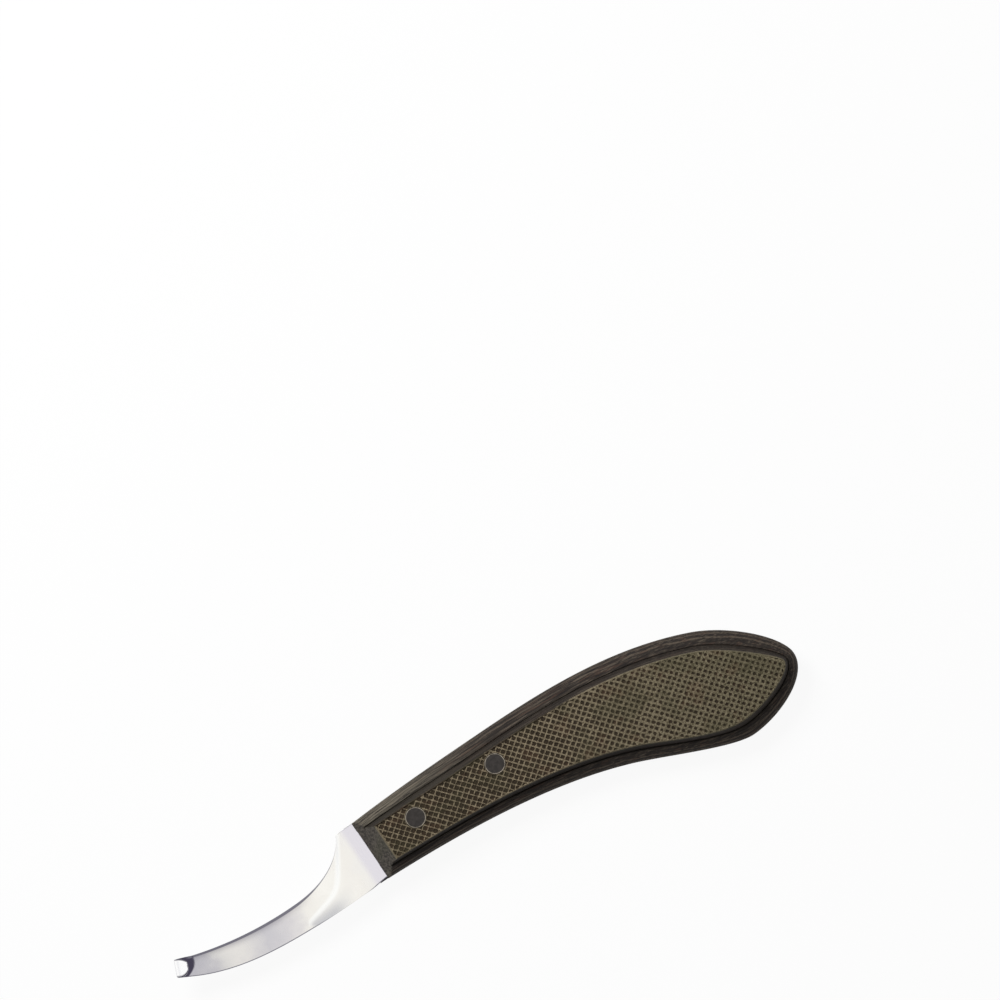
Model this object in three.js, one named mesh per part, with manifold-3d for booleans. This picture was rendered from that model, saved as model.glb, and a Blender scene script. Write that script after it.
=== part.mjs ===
// Farrier's hoof knife: a forged blade with a curled hook, in a handle of two riveted scales.
//
// The knife is laid out round the centre of its front rivet. +X runs along the tang to the butt,
// +Y is the side of the cutting edge, +Z is up, and Z = 0 is the plane where the scales meet.
// At the end the group is moved, so that the origin lies under the middle of its box.
// All sizes are in millimetres and all angles in degrees.
import * as THREE from 'three';
import { mergeVertices } from 'three/addons/utils/BufferGeometryUtils.js';
import Module from 'manifold-3d';

// ---------------------------------------------------------------- driving dimensions

// Handle: two scales with a bevelled rim round a raised panel
const handleLength = 140.4;
const handleThickness = 17.4;
const handleFrontX = -17.5;
const rimTopZ = 4.8;
const rimSideZ = 1.1;
const rimBevelShare = 0.66;
const rampRun = 6.0;
const bottomScaleLead = 3.4;
const glueLine = 0.1;

// Blade: flat ricasso, ground length and the rise toward the hook
const bladeLength = 69.8;
const bladeThickness = 2.6;
const ricassoEdgeY = 9.0;
const ricassoSpineY = -10.7;
const notchX = -23.7;
const notchY = 8.9;
const waistX = -45.1;
const waistEdgeY = -1.7;
const waistSpineY = -10.75;
const plungeWidth = 2.4;
const spineThickness = 2.0;
const groundThickness = 1.3;
const edgeThickness = 0.3;
const edgeBevelWidth = 0.8;
const cornerBreak = 0.25;
const riseStartX = -30;
const bladeRise = 2.0;

// Hook: the curl across the end of the blade
const hookReach = 5.7;
const hookHalfHeight = 3.85;
const hookThickness = 1.1;
const hookHalfWidth = 2.75;
const hookSpineFlare = 0.8;
const hookHeading = 157;
const hookBaseY = 0.65;
const hookWrap = 160;
const hookRounding = 35;
const hookEdgeEndShare = 0.6;
const hookSpineEndShare = 0.25;
const hookTurnAllowance = 0.35;

// Tang and the two cutler's rivets through it
const tangLength = 60;
const tangHalfWidth = 6;
const tangEndRadius = 4;
const tangClearance = 0.3;
const rivetSpacing = 29;
const rivetHeadDiameter = 6.35;
const rivetHeadThickness = 1.6;
const rivetHeadChamfer = 0.2;
const rivetTubeDiameter = 4.4;
const rivetStudDiameter = 2.4;
const rivetStudShoulder = 4.8;
const rivetFitGap = 0.3;
const rivetSeatGap = 0.2;

// Mesh steps
const roundSteps = 32;
const hookSteps = 20;

// ---------------------------------------------------------------- sizes that follow

const handleHalf = handleThickness / 2;
const bladeHalf = bladeThickness / 2;
const seatZ = bladeHalf + glueLine;
const buttX = handleFrontX + handleLength;
const hookBaseX = handleFrontX - bladeLength + hookReach + hookTurnAllowance;
const tangEndX = handleFrontX + tangLength;
const rivetPlaces = { front: 0, rear: rivetSpacing };

const steel = { color: 0xc9c8c6, roughness: 0.28, metalness: 1 };
const darkSteel = { color: 0x46434a, roughness: 0.5, metalness: 0.8 };
const laminate = { color: 0x4c4338, roughness: 0.6, metalness: 0 };

const wasm = await Module();
wasm.setup();

// ---------------------------------------------------------------- solids and meshes

// A closed mesh from a geometry: shared vertices merged, empty triangles dropped.
function closed(geometry) {
  const bare = geometry.clone();
  bare.deleteAttribute('normal');
  bare.deleteAttribute('uv');
  const merged = mergeVertices(bare, 1e-4);
  const triangles = [];
  for (let i = 0; i < merged.index.count; i += 3) {
    const [a, b, c] = [0, 1, 2].map((k) => merged.index.getX(i + k));
    if (a !== b && b !== c && c !== a) triangles.push(a, b, c);
  }
  merged.setIndex(triangles);
  return signedVolume(merged) < 0 ? turnedOut(merged) : merged;
}

function signedVolume(geometry) {
  const corners = [0, 1, 2].map(() => new THREE.Vector3());
  let sum = 0;
  for (let i = 0; i < geometry.index.count; i += 3) {
    corners.forEach((corner, k) => {
      corner.fromBufferAttribute(geometry.attributes.position, geometry.index.getX(i + k));
    });
    sum += corners[0].dot(corners[1].clone().cross(corners[2])) / 6;
  }
  return sum;
}

// The same geometry with every triangle turned round.
function turnedOut(geometry) {
  const turned = geometry.clone();
  for (let i = 0; i < turned.index.count; i += 3) {
    const second = turned.index.getX(i + 1);
    turned.index.setX(i + 1, turned.index.getX(i + 2));
    turned.index.setX(i + 2, second);
  }
  return turned;
}

function toSolid(geometry) {
  const mesh = closed(geometry);
  const vertProperties = new Float32Array(mesh.attributes.position.array);
  const triVerts = new Uint32Array(mesh.index.array);
  return new wasm.Manifold(new wasm.Mesh({ numProp: 3, vertProperties, triVerts }));
}

function toGeometry(solid) {
  const mesh = solid.getMesh();
  const geometry = new THREE.BufferGeometry();
  geometry.setAttribute('position', new THREE.BufferAttribute(mesh.vertProperties, 3));
  geometry.setIndex(new THREE.BufferAttribute(mesh.triVerts, 1));
  return closed(geometry);
}

// A skin through rings of equal count, closed by a cap over the first ring and the last.
// flatten turns a ring's point into the two coordinates that its cap is filled in.
function loft(rings, flatten) {
  const count = rings[0].length;
  const positions = rings.flat().flatMap((p) => [p.x, p.y, p.z]);
  const triangles = [];
  for (let r = 0; r + 1 < rings.length; r += 1) {
    for (let i = 0; i < count; i += 1) {
      const a = r * count + i;
      const b = r * count + ((i + 1) % count);
      triangles.push(a, b, b + count, a, b + count, a + count);
    }
  }
  const cap = (ring, first, reversed) => {
    const contour = ring.map(flatten);
    const turn = THREE.ShapeUtils.isClockWise(contour) !== reversed;
    for (const [a, b, c] of THREE.ShapeUtils.triangulateShape(contour, [])) {
      triangles.push(first + a, first + (turn ? c : b), first + (turn ? b : c));
    }
  };
  cap(rings[0], 0, true);
  cap(rings.at(-1), (rings.length - 1) * count, false);
  const geometry = new THREE.BufferGeometry();
  geometry.setAttribute('position', new THREE.Float32BufferAttribute(positions, 3));
  geometry.setIndex(triangles);
  return geometry;
}

function uprightCylinder(radius, x, z0, z1) {
  const geometry = new THREE.CylinderGeometry(radius, radius, z1 - z0, roundSteps);
  return geometry.rotateX(Math.PI / 2).translate(x, 0, (z0 + z1) / 2);
}

// ---------------------------------------------------------------- outlines

const heading = (degrees) => {
  const angle = THREE.MathUtils.degToRad(degrees);
  return new THREE.Vector2(Math.cos(angle), Math.sin(angle));
};

// The curve from one station to the next. A station is a place, the heading of the outline
// there, and how far its curve reaches straight on before and after it.
function stretch(from, to) {
  const start = new THREE.Vector2(from.x, from.y);
  const end = new THREE.Vector2(to.x, to.y);
  const leave = start.clone().addScaledVector(heading(from.heading), from.after);
  const arrive = end.clone().addScaledVector(heading(to.heading), -to.before);
  return new THREE.CubicBezierCurve(start, leave, arrive, end);
}

// Points along a chain of stations: steps[i] of them from station i on, then the last station.
function chain(stations, steps) {
  const points = [];
  steps.forEach((count, i) => {
    const curve = stretch(stations[i], stations[i + 1]);
    for (let k = 0; k < count; k += 1) points.push(curve.getPoint(k / count));
  });
  const last = stations.at(-1);
  points.push(new THREE.Vector2(last.x, last.y));
  return points;
}

// Round the handle from the front of its belly by the heel and the butt to the front of its
// back. rim is the width of the rim there, and panel the reaches of the panel's own outline.
const handleStations = [
  { x: handleFrontX, y: -11.0, heading: -2, before: 0, after: 28.7, rim: 4.3, panel: [0, 35] },
  { x: buttX - 59, y: -23.9, heading: -21, before: 25.3, after: 10.2, rim: 5.5, panel: [24.4, 10.8] },
  { x: buttX - 24, y: -37.2, heading: 0, before: 7.2, after: 9.4, rim: 5.9, panel: [10.0, 6.8] },
  { x: buttX, y: -23.4, heading: 90, before: 8.4, after: 6.1, rim: 4.1, panel: [3.9, 1.6] },
  { x: buttX - 23, y: -0.5, heading: 157, before: 12.2, after: 28.1, rim: 6.1, panel: [8.6, 26.2] },
  { x: handleFrontX + 39.5, y: 10.0, heading: 180, before: 24.5, after: 14.1, rim: 5.8, panel: [25.1, 18] },
  { x: handleFrontX, y: 9.0, heading: 183.6, before: 12.7, after: 0, rim: 4.6, panel: [12, 0] },
];
const handleSteps = [9, 8, 8, 8, 9, 6];

// The panel's stations lie inside the handle's by the width of the rim.
const panelStations = handleStations.map((station) => {
  const outward = heading(station.heading - 90);
  return {
    x: station.x - outward.x * station.rim * (station.x > handleFrontX),
    y: station.y - outward.y * station.rim,
    heading: station.heading,
    before: station.panel[0],
    after: station.panel[1],
  };
});

// The blank reaches this far ahead of the handle's front, until the ramp is cut.
const blankLead = bottomScaleLead + 6;

// A closed outline of the blank, carried straight forward from its first and last stations.
function blankOutline(stations) {
  const points = chain(stations, handleSteps);
  const first = points[0].clone().setX(points[0].x - blankLead);
  const last = points.at(-1).clone().setX(points.at(-1).x - blankLead);
  return [first, ...points, last];
}

// ---------------------------------------------------------------- scales

// Rings of one scale from the joint up: the side, the rounded bevel of the rim, the wall of
// the panel. share runs from the outer outline, 0, to the panel's, 1.
const rimProfile = new THREE.QuadraticBezierCurve(
  new THREE.Vector2(0, rimSideZ),
  new THREE.Vector2(rimBevelShare * 0.3, rimTopZ * 0.78),
  new THREE.Vector2(rimBevelShare, rimTopZ),
);

function scaleBlank() {
  const outer = blankOutline(handleStations);
  const panel = blankOutline(panelStations);
  const levels = [[0, glueLine / 2]];
  for (const p of rimProfile.getPoints(4)) levels.push([p.x, p.y]);
  levels.push([1, handleHalf]);
  const rings = levels.map(([share, z]) => outer.map((p, i) => {
    const flat = p.clone().lerp(panel[i], share);
    return new THREE.Vector3(flat.x, flat.y, z);
  }));
  return loft(rings, (p) => new THREE.Vector2(p.x, p.y));
}

// What the front of a scale loses: the seat of the blade's shoulders, and all that lies
// ahead of a ramp from that seat up to the panel. lead moves the foot of the ramp forward.
function frontCutter(lead) {
  const backX = handleFrontX + glueLine;
  const footX = backX - lead;
  const climb = 1.5;
  const topX = footX + rampRun * climb;
  const topZ = seatZ + (handleHalf - seatZ) * climb;
  const aheadX = footX - 2 * blankLead;
  const side = new THREE.Shape();
  side.moveTo(aheadX, -handleHalf);
  side.lineTo(backX, -handleHalf);
  side.lineTo(backX, seatZ);
  if (lead > 0) side.lineTo(footX, seatZ);
  side.lineTo(topX, topZ);
  side.lineTo(aheadX, topZ);
  side.closePath();
  const width = 4 * Math.max(Math.abs(ricassoEdgeY), Math.abs(ricassoSpineY));
  const cutter = new THREE.ExtrudeGeometry(side, { depth: width, bevelEnabled: false });
  return cutter.translate(0, 0, -width / 2).rotateX(Math.PI / 2);
}

// The tang seen from above, grown all round by a clearance.
function tangShape(grow) {
  const half = tangHalfWidth + grow;
  const end = tangEndX + grow;
  const radius = tangEndRadius + grow;
  const shape = new THREE.Shape();
  shape.moveTo(handleFrontX - 1, -half);
  shape.lineTo(end - radius, -half);
  shape.absarc(end - radius, -half + radius, radius, -Math.PI / 2, 0, false);
  shape.absarc(end - radius, half - radius, radius, 0, Math.PI / 2, false);
  shape.lineTo(handleFrontX - 1, half);
  shape.closePath();
  return shape;
}

// The upper scale: the blank, less its front, the seat of the tang and the rivet holes.
function scaleGeometry(lead) {
  const tangSeat = new THREE.ExtrudeGeometry(tangShape(tangClearance), {
    depth: seatZ + 1,
    bevelEnabled: false,
    curveSegments: roundSteps / 4,
  }).translate(0, 0, -1);
  let solid = toSolid(scaleBlank()).subtract(toSolid(frontCutter(lead))).subtract(toSolid(tangSeat));
  for (const x of Object.values(rivetPlaces)) {
    const hole = uprightCylinder(rivetTubeDiameter / 2 + rivetFitGap, x, -1, handleHalf + 1);
    const sinkFloor = handleHalf - rivetHeadThickness - rivetSeatGap;
    const sink = uprightCylinder(rivetHeadDiameter / 2 + rivetFitGap, x, sinkFloor, handleHalf + 1);
    solid = solid.subtract(toSolid(hole)).subtract(toSolid(sink));
  }
  return toGeometry(solid);
}

// ---------------------------------------------------------------- blade

const hookBase = new THREE.Vector2(hookBaseX, hookBaseY);
const hookForward = heading(hookHeading);
const hookAcross = heading(hookHeading - 90);

const edgeStations = [
  { x: handleFrontX, y: ricassoEdgeY, heading: 183, before: 0, after: 2 },
  { x: notchX, y: notchY, heading: 183, before: 2, after: 0 },
  { x: waistX, y: waistEdgeY, heading: 181, before: 15.9, after: 10.9 },
  {
    x: hookBase.x + hookAcross.x * hookHalfWidth,
    y: hookBase.y + hookAcross.y * hookHalfWidth,
    heading: 163.1,
    before: 13,
    after: 0,
  },
];
const notchHeading = -109;
const notchReach = 1.7;

const spineStations = [
  { x: handleFrontX, y: ricassoSpineY, heading: 183, before: 0, after: 2 },
  { x: notchX - 0.7, y: ricassoSpineY - 0.35, heading: 180, before: 2, after: 6 },
  { x: waistX, y: waistSpineY, heading: 177, before: 10.3, after: 10.5 },
  {
    x: hookBase.x - hookAcross.x * (hookHalfWidth + hookSpineFlare),
    y: hookBase.y - hookAcross.y * (hookHalfWidth + hookSpineFlare),
    heading: 152.3,
    before: 14.3,
    after: 0,
  },
];
const bladeSteps = [4, 14, 18];

// The plunge line, from the notch across to the spine: the end of the ground face.
const plungeLine = stretch(
  { x: notchX + 1.3, y: notchY - 0.9, heading: -121, after: 18.6 },
  { x: waistX + 1.4, y: waistSpineY + 0.95, heading: 195, before: 13.3 },
);
const plungePoints = plungeLine.getPoints(40);

function plungeX(y) {
  if (y >= plungePoints[0].y) return plungePoints[0].x;
  const next = plungePoints.findIndex((p) => p.y <= y);
  if (next < 0) return plungePoints.at(-1).x;
  const [a, b] = [plungePoints[next - 1], plungePoints[next]];
  return THREE.MathUtils.mapLinear(y, a.y, b.y, a.x, b.x);
}

// How far the grinding has bitten at a place: 0 on the flat ricasso, 1 on the ground face.
function groundShare(place) {
  if (place.x > plungeX(place.y)) return 0;
  const past = Math.min(...plungePoints.map((p) => p.distanceTo(place)));
  return THREE.MathUtils.smoothstep(past, 0, plungeWidth);
}

const { lerp } = THREE.MathUtils;

// One section of the blade, as distances across from the spine and heights above the back.
// taper runs from 0 at the waist to 1 at the hook, and ground(across) from 0 to 1.
function bladeSection(width, taper, ground) {
  const spine = lerp(spineThickness, hookThickness, taper);
  const start = lerp(groundThickness, hookThickness, taper);
  const bevel = lerp(cornerBreak, lerp(edgeBevelWidth, cornerBreak, taper), ground(width));
  const edge = lerp(edgeThickness, hookThickness - cornerBreak, taper);
  const edgeTop = lerp(bladeThickness - cornerBreak, edge, ground(width));
  const top = (across) => lerp(bladeThickness, lerp(spine, start, across / width), ground(across));
  const back = [cornerBreak, width / 3, (2 * width) / 3, width - cornerBreak];
  const face = [width - bevel, (3 * width) / 4, width / 2, width / 4, cornerBreak];
  return [
    [0, cornerBreak],
    ...back.map((across) => [across, 0]),
    [width, Math.min(cornerBreak, edge / 3)],
    [width, edgeTop],
    ...face.map((across) => [across, top(across)]),
    [0, top(0) - cornerBreak],
  ];
}

function bladeRows() {
  const edge = [
    ...chain(edgeStations.slice(0, 2), bladeSteps.slice(0, 1)).slice(0, -1),
    ...chain([
      { ...edgeStations[1], heading: notchHeading, after: notchReach },
      ...edgeStations.slice(2),
    ], bladeSteps.slice(1)),
  ];
  const spine = chain(spineStations, bladeSteps);
  const riseRun = riseStartX - hookBaseX;
  return edge.map((end, i) => {
    const start = spine[i];
    const width = start.distanceTo(end);
    const middleX = (start.x + end.x) / 2;
    const taper = THREE.MathUtils.clamp((waistX - middleX) / (waistX - hookBaseX), 0, 1);
    const rise = bladeRise * Math.max(0, (riseStartX - middleX) / riseRun) ** 2;
    const at = (across) => start.clone().lerp(end, across / width);
    const ground = (across) => groundShare(at(across));
    return bladeSection(width, taper, ground).map(([across, up]) => {
      const flat = at(across);
      return new THREE.Vector3(flat.x, flat.y, -bladeHalf + rise + up);
    });
  });
}

// Rows round the curl, each a section standing on the hook's outer face. That face is part of
// an ellipse, turned up with the slope of the blade where the hook starts.
function hookRows() {
  const lean = Math.atan((2 * bladeRise) / (riseStartX - hookBaseX));
  const wrap = THREE.MathUtils.degToRad(hookWrap);
  const rounding = THREE.MathUtils.degToRad(hookRounding);
  const origin = new THREE.Vector2();
  const rows = [];
  for (let k = 1; k <= hookSteps; k += 1) {
    const turn = (wrap * k) / hookSteps;
    const flare = hookSpineFlare * Math.max(0, 1 - turn / (Math.PI / 2));
    const late = Math.max(0, 1 - (wrap - turn) / rounding);
    const narrowed = (share) => Math.sqrt(1 - (1 - share ** 2) * late ** 2);
    const edgeSide = hookHalfWidth * narrowed(hookEdgeEndShare);
    const spineSide = (hookHalfWidth + flare) * narrowed(hookSpineEndShare);
    const outer = new THREE.Vector2(hookReach * Math.sin(turn), hookHalfHeight * (1 - Math.cos(turn)));
    const inward = new THREE.Vector2(-hookHalfHeight * Math.sin(turn), hookReach * Math.cos(turn));
    inward.normalize();
    rows.push(bladeSection(edgeSide + spineSide, 1, () => 1).map(([across, up]) => {
      const profile = outer.clone().addScaledVector(inward, up).rotateAround(origin, lean);
      const flat = hookBase.clone()
        .addScaledVector(hookForward, profile.x)
        .addScaledVector(hookAcross, across - spineSide);
      return new THREE.Vector3(flat.x, flat.y, -bladeHalf + bladeRise + profile.y);
    }));
  }
  return rows;
}

function bladeGeometry() {
  const rows = [...bladeRows(), ...hookRows()];
  const forged = toSolid(loft(rows, (p) => {
    const flat = new THREE.Vector2(p.x, p.y);
    return new THREE.Vector2(flat.dot(hookAcross), p.z);
  }));
  const tang = tangShape(0);
  for (const x of Object.values(rivetPlaces)) {
    const hole = new THREE.Path();
    hole.absarc(x, 0, rivetTubeDiameter / 2 + rivetFitGap, 0, 2 * Math.PI, true);
    tang.holes.push(hole);
  }
  const strip = new THREE.ExtrudeGeometry(tang, {
    depth: bladeThickness,
    bevelEnabled: false,
    curveSegments: roundSteps / 4,
  });
  return toGeometry(forged.add(toSolid(strip.translate(0, 0, -bladeHalf))));
}

// ---------------------------------------------------------------- rivets

const headRadius = rivetHeadDiameter / 2;
const tubeRadius = rivetTubeDiameter / 2;
const studRadius = rivetStudDiameter / 2;
const headSeatZ = handleHalf - rivetHeadThickness;

function turned(profile, x) {
  const points = profile.map(([radius, z]) => new THREE.Vector2(radius, z));
  return closed(new THREE.LatheGeometry(points, roundSteps).rotateX(Math.PI / 2).translate(x, 0, 0));
}

// The male half: a head flush with the upper panel, on a stud.
function rivetMale(x) {
  const studEnd = -headSeatZ + rivetFitGap;
  return turned([
    [0, studEnd],
    [studRadius, studEnd],
    [studRadius, headSeatZ],
    [headRadius, headSeatZ],
    [headRadius, handleHalf - rivetHeadChamfer],
    [headRadius - rivetHeadChamfer, handleHalf],
    [0, handleHalf],
  ], x);
}

// The female half: a head flush with the lower panel, on a tube that the stud enters.
function rivetFemale(x) {
  const boreRadius = studRadius + rivetFitGap;
  const mouth = headSeatZ - rivetStudShoulder;
  return turned([
    [0, -handleHalf],
    [headRadius - rivetHeadChamfer, -handleHalf],
    [headRadius, -handleHalf + rivetHeadChamfer],
    [headRadius, -headSeatZ],
    [tubeRadius, -headSeatZ],
    [tubeRadius, mouth],
    [boreRadius, mouth],
    [boreRadius, -headSeatZ],
    [0, -headSeatZ],
  ], x);
}

// ---------------------------------------------------------------- assembly

const knife = new THREE.Group();

function addPiece(name, geometry, finish) {
  const mesh = new THREE.Mesh(geometry, new THREE.MeshStandardMaterial(finish));
  mesh.name = name;
  knife.add(mesh);
}

addPiece('blade', bladeGeometry(), steel);
addPiece('top_scale', scaleGeometry(0), laminate);
addPiece('bottom_scale', turnedOut(scaleGeometry(bottomScaleLead).scale(1, 1, -1)), laminate);
for (const [place, x] of Object.entries(rivetPlaces)) {
  addPiece(`${place}_rivet_male`, rivetMale(x), darkSteel);
  addPiece(`${place}_rivet_female`, rivetFemale(x), darkSteel);
}

// The origin goes under the middle of the knife's box.
const bounds = new THREE.Box3().setFromObject(knife);
const middle = bounds.getCenter(new THREE.Vector3());
knife.position.set(-middle.x, -middle.y, -bounds.min.z);

export default knife;
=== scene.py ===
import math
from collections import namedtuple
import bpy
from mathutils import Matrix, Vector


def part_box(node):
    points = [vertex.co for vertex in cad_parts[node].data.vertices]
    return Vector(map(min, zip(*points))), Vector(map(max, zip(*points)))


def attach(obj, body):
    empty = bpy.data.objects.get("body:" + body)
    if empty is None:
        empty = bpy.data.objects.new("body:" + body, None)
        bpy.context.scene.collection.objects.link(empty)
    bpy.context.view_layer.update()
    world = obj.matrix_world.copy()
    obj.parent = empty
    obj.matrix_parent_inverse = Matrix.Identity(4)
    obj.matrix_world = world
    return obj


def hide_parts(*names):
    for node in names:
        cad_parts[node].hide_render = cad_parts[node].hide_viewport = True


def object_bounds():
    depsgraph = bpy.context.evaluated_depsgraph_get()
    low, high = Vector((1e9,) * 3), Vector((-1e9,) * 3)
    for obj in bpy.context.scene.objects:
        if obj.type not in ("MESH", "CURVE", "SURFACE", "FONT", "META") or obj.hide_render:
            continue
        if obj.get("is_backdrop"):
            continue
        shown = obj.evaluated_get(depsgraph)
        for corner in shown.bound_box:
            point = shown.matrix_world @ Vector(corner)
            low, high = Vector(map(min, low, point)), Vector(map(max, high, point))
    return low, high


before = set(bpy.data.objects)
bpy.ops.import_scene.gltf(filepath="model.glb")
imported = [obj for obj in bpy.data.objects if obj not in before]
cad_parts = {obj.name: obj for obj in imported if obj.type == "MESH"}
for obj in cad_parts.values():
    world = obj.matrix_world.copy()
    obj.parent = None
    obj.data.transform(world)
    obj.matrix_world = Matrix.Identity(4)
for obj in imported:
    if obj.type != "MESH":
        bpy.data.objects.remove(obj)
cad_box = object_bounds()

# The looks of a farrier's hoof knife: a ground and polished blade, two scales of laminated dyed
# wood with a raised checkered panel each, and two rivets ground flush with the panels.
# Shapes are worked out in millimetres round the centre of the front rivet, as the CAD model is:
# +X to the butt, +Y to the cutting edge, Z = 0 where the scales meet.
from types import SimpleNamespace

import bmesh
import bpy
import numpy as np
from mathutils import Vector, noise
from mathutils.geometry import delaunay_2d_cdt
from mathutils.kdtree import KDTree

MM = 0.001

# ------------------------------------------------------------------ sizes from the frame


def middle(node):
    low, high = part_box(node)
    return (low + high) / 2


top_head_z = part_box("front_rivet_male")[1].z
bottom_head_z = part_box("front_rivet_female")[0].z
ORIGIN = Vector((*middle("front_rivet_male").xy, (top_head_z + bottom_head_z) / 2))


def reach(node, side, axis):
    """How far a node's box reaches, in millimetres from the front rivet: side 0 low, 1 high."""
    return (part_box(node)[side][axis] - ORIGIN[axis]) / MM


GLUE = 0.1
HALF = reach("front_rivet_male", 1, 2)
FRONT = reach("top_scale", 0, 0) - GLUE
BUTT = reach("top_scale", 1, 0)
SCALE_LEADS = {"top_scale": 0.0, "bottom_scale": FRONT + GLUE - reach("bottom_scale", 0, 0)}
RIVET_X = {"front": 0.0, "rear": (middle("rear_rivet_male").x - ORIGIN.x) / MM}
HEAD_RADIUS = (reach("front_rivet_male", 1, 1) - reach("front_rivet_male", 0, 1)) / 2
BLADE_HALF = -reach("blade", 0, 2)
BLADE_TIP = reach("blade", 0, 0)
TANG_END = reach("blade", 1, 0)

# ------------------------------------------------------------------ outlines

Station = namedtuple("Station", "x y heading before after")


def direction(degrees):
    angle = math.radians(degrees)
    return np.array((math.cos(angle), math.sin(angle)))


def stretch(a, b, steps):
    """Points from station a to just before station b."""
    t = np.linspace(0, 1, steps, endpoint=False)[:, None]
    start, end = np.array((a.x, a.y)), np.array((b.x, b.y))
    leave = start + a.after * direction(a.heading)
    arrive = end - b.before * direction(b.heading)
    return (
        (1 - t) ** 3 * start + 3 * (1 - t) ** 2 * t * leave
        + 3 * (1 - t) * t**2 * arrive + t**3 * end
    )


def chain(stations, steps):
    runs = [stretch(a, b, n) for a, b, n in zip(stations, stations[1:], steps)]
    return np.vstack([*runs, [(stations[-1].x, stations[-1].y)]])


# ------------------------------------------------------------------ meshes

CDT_EPSILON, TOUCH = 1e-7, 1e-6
WELD, SLIVER = 0.0005, 0.0002


def smoothstep(value, low=0.0, high=1.0):
    t = np.clip((value - low) / (high - low), 0, 1)
    return t * t * (3 - 2 * t)


def within(points, loops):
    """Whether each point lies within the first loop and outside the others."""
    x, y = points.T
    found = np.zeros(len(points), bool)
    for loop in loops:
        for (x0, y0), (x1, y1) in zip(loop, np.roll(loop, -1, 0)):
            if y0 != y1:
                found ^= ((y0 > y) != (y1 > y)) & (x < (x1 - x0) * (y - y0) / (y1 - y0) + x0)
    return found


def triangulated(loops, places=()):
    """Points and triangles of the area within the first loop and outside the others."""
    flat = np.vstack([*loops, *([places] if len(places) else [])])
    edges, start = [], 0
    for loop in loops:
        around = np.arange(start, start + len(loop))
        edges += np.column_stack((around, np.roll(around, -1))).tolist()
        start += len(loop)
    result = delaunay_2d_cdt([Vector(p) for p in flat], edges, [], 0, CDT_EPSILON, True)
    made, triangles = np.array([tuple(p) for p in result[0]]), np.array(result[2])
    on_loop = np.array([min(ids, default=0) < start for ids in result[3]])
    doubtful = on_loop[triangles].all(1)
    kept = ~doubtful
    kept[doubtful] = within(made[triangles[doubtful]].mean(1), loops)
    return made, triangles[kept]


class Skin:
    """Gathers the patches of one closed mesh: points in millimetres, faces, and how each point
    is to look, by name of mesh attribute."""

    def __init__(self, **looks):
        self.points, self.faces, self.count = [], [], 0
        self.looks = {name: [] for name in looks}
        self.usual = looks

    def add(self, points, **looks):
        points = np.asarray(points, float).reshape(-1, 3)
        first = self.count
        self.points.append(points)
        self.count += len(points)
        for name, values in self.looks.items():
            values.append(np.broadcast_to(looks.get(name, self.usual[name]), len(points)))
        return first

    def grid(self, rows, closed=False, **looks):
        """Faces between rows of equal length; closed joins each row's end to its start."""
        rows = np.asarray(rows, float)
        height, width = rows.shape[:2]
        first = self.add(rows, **looks)
        across = np.arange(width if closed else width - 1)
        for r in range(height - 1):
            a = first + r * width + across
            b = first + r * width + (across + 1) % width
            self.faces += np.column_stack((a, b, b + width, a + width)).tolist()

    def fill(self, loops, height, places=(), **looks):
        """A sheet within the first loop and outside the others, at a height."""
        made, triangles = triangulated(loops, places)
        heights = height(made) if callable(height) else np.full(len(made), height)
        values = {name: look(made) if callable(look) else look for name, look in looks.items()}
        first = self.add(np.column_stack((made, heights)), **values)
        self.faces += (triangles + first).tolist()

    def build(self, name, mirrored=False, crease=30):
        points = np.vstack(self.points)
        if mirrored:
            points = points * (1, 1, -1)
        mesh = bpy.data.meshes.new(name)
        mesh.from_pydata(points * MM + np.array(ORIGIN), [], self.faces)
        for look, values in self.looks.items():
            attribute = mesh.attributes.new(look, "FLOAT", "POINT")
            attribute.data.foreach_set("value", np.concatenate(values).astype(np.float32))
        work = bmesh.new()
        work.from_mesh(mesh)
        bmesh.ops.remove_doubles(work, verts=work.verts, dist=WELD * MM)
        bmesh.ops.dissolve_degenerate(work, edges=work.edges, dist=SLIVER * MM)
        bmesh.ops.recalc_face_normals(work, faces=work.faces)
        open_edges = sum(not e.is_manifold for e in work.edges)
        work.to_mesh(mesh)
        work.free()
        mesh.shade_smooth()
        mesh.set_sharp_from_angle(angle=math.radians(crease))
        print(f"{name}: {len(mesh.vertices)} vertices, {open_edges} open edges")
        piece = bpy.data.objects.new(name, mesh)
        bpy.context.scene.collection.objects.link(piece)
        return piece


def circle(radius, x, steps=64):
    angles = np.linspace(0, 2 * math.pi, steps, endpoint=False)
    return np.column_stack((x + radius * np.cos(angles), radius * np.sin(angles)))


def at_height(flat, z):
    return np.column_stack((flat, np.full(len(flat), z)))


# ------------------------------------------------------------------ scales

RIM_SIDE_Z, RIM_TOP_Z, RIM_SHARE = 1.1, 4.8, 0.66
BEVEL_BOW, BEVEL_STEPS = (0.3, 0.78), 14
RAMP_RUN = 6.0
BLANK_LEAD, LEAD_STEPS = 9.0, 60
JOINT_Z = GLUE / 2
SEAT_Z, SEAT_STEP = BLADE_HALF + GLUE, 0.001
TANG_HALF_WIDTH, TANG_END_RADIUS, TANG_GAP = 6.0, 4.0, 0.3
TANG_CORNER_STEPS = 13
RIVET_HOLE_RADIUS = 2.5
SINK_RADIUS = HEAD_RADIUS + 0.12
SINK_Z = HALF - 1.8

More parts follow.
